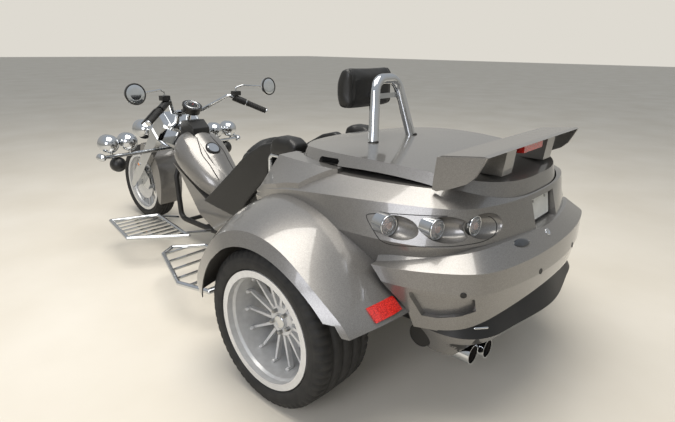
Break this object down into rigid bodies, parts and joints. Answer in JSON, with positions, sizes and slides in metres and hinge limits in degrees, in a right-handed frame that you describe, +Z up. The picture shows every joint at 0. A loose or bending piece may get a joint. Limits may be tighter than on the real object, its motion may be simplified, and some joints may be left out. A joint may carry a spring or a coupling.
{
  "type": "motorized trike",
  "caption": "Rear-engined three-wheeled motorcycle with a raked front fork, bucket seats, wide rear fenders, trunk lid with spoiler and a chrome hoop backrest.",
  "frame": {"origin": "on the ground, at the middle of the overall length and width", "axes": "+X to the vehicle's left, -Y forward, +Z up"},
  "size_m": [1.81, 3.6029, 1.3038],
  "materials": {
    "body_paint": "graphite metallic with clear coat",
    "tyre_rubber": "black tyre rubber",
    "wheel_alloy": "satin silver with a polished lip",
    "chrome_trim": "polished chrome",
    "frame_black": "black powder coat",
    "black_plastic": "black moulded plastic",
    "seat_leather": "black upholstery with a fine grain",
    "lamp_glass": "clear lens",
    "mirror_glass": "mirror glass in a chrome shell",
    "engine_metal": "cast engine block"
  },
  "bodies": {
    "chassis": {"armrest_pads": "seat_leather", "armrest_rails": "chrome_trim", "belly_panel": "body_paint", "console": "black_plastic", "engine_block": "engine_metal", "exhaust": "chrome_trim", "front_footboards": "chrome_trim", "fuel_cap": "chrome_trim", "main_frame": "frame_black", "passenger_cushion": "seat_leather", "plate_frame": "black_plastic", "rear_axle": "frame_black", "rear_body": "body_paint", "rear_bumper": "body_paint", "rear_diffuser": "black_plastic", "rear_footboards": "chrome_trim", "rear_left_fender": "body_paint", "rear_right_fender": "body_paint", "rider_backrest": "seat_leather", "rider_cushion": "seat_leather", "seat_shell": "seat_leather", "side_lamps": "lamp_glass", "tank_body": "body_paint", "trunk_tub": "black_plastic"},
    "steering": {"fork_legs": "body_paint", "triple_clamps": "chrome_trim", "front_fender": "body_paint", "handlebar": "chrome_trim", "mirrors": "mirror_glass", "hand_controls": "black_plastic", "gauge_pod": "chrome_trim", "lamp_bar": "chrome_trim", "horn_lamps": "black_plastic", "front_lamps": "chrome_trim"},
    "front_wheel": {"front_tyre": "tyre_rubber", "front_rim": "chrome_trim"},
    "rear_left_wheel": {"rear_left_tyre": "tyre_rubber", "rear_left_rim": "wheel_alloy"},
    "rear_right_wheel": {"rear_right_tyre": "tyre_rubber", "rear_right_rim": "wheel_alloy"},
    "trunk_lid_body": {"trunk_lid": "body_paint", "spoiler": "body_paint", "brake_lamp": "lamp_glass", "hoop": "chrome_trim", "back_pad": "seat_leather"}
  },
  "joints": [
    {"name": "steering_pivot", "type": "hinge", "parent": "chassis", "child": "steering", "pos_m": [0, -0.94011, 0.74593], "axis": [0, 0.6884, 0.7254], "range_deg": [-35, 35]},
    {"name": "front_wheel_spin", "type": "hinge", "parent": "steering", "child": "front_wheel", "pos_m": [0, -1.4945, 0.307], "axis": [1, 0, 0], "continuous": true},
    {"name": "rear_left_wheel_spin", "type": "hinge", "parent": "chassis", "child": "rear_left_wheel", "pos_m": [0.736, 1.0055, 0.332], "axis": [1, 0, 0], "continuous": true},
    {"name": "rear_right_wheel_spin", "type": "hinge", "parent": "chassis", "child": "rear_right_wheel", "pos_m": [-0.736, 1.0055, 0.332], "axis": [1, 0, 0], "continuous": true},
    {"name": "trunk_lid_hinge", "type": "hinge", "parent": "chassis", "child": "trunk_lid_body", "pos_m": [0, 0.6535, 0.905], "axis": [1, 0, 0], "range_deg": [0, 40]}
  ]
}
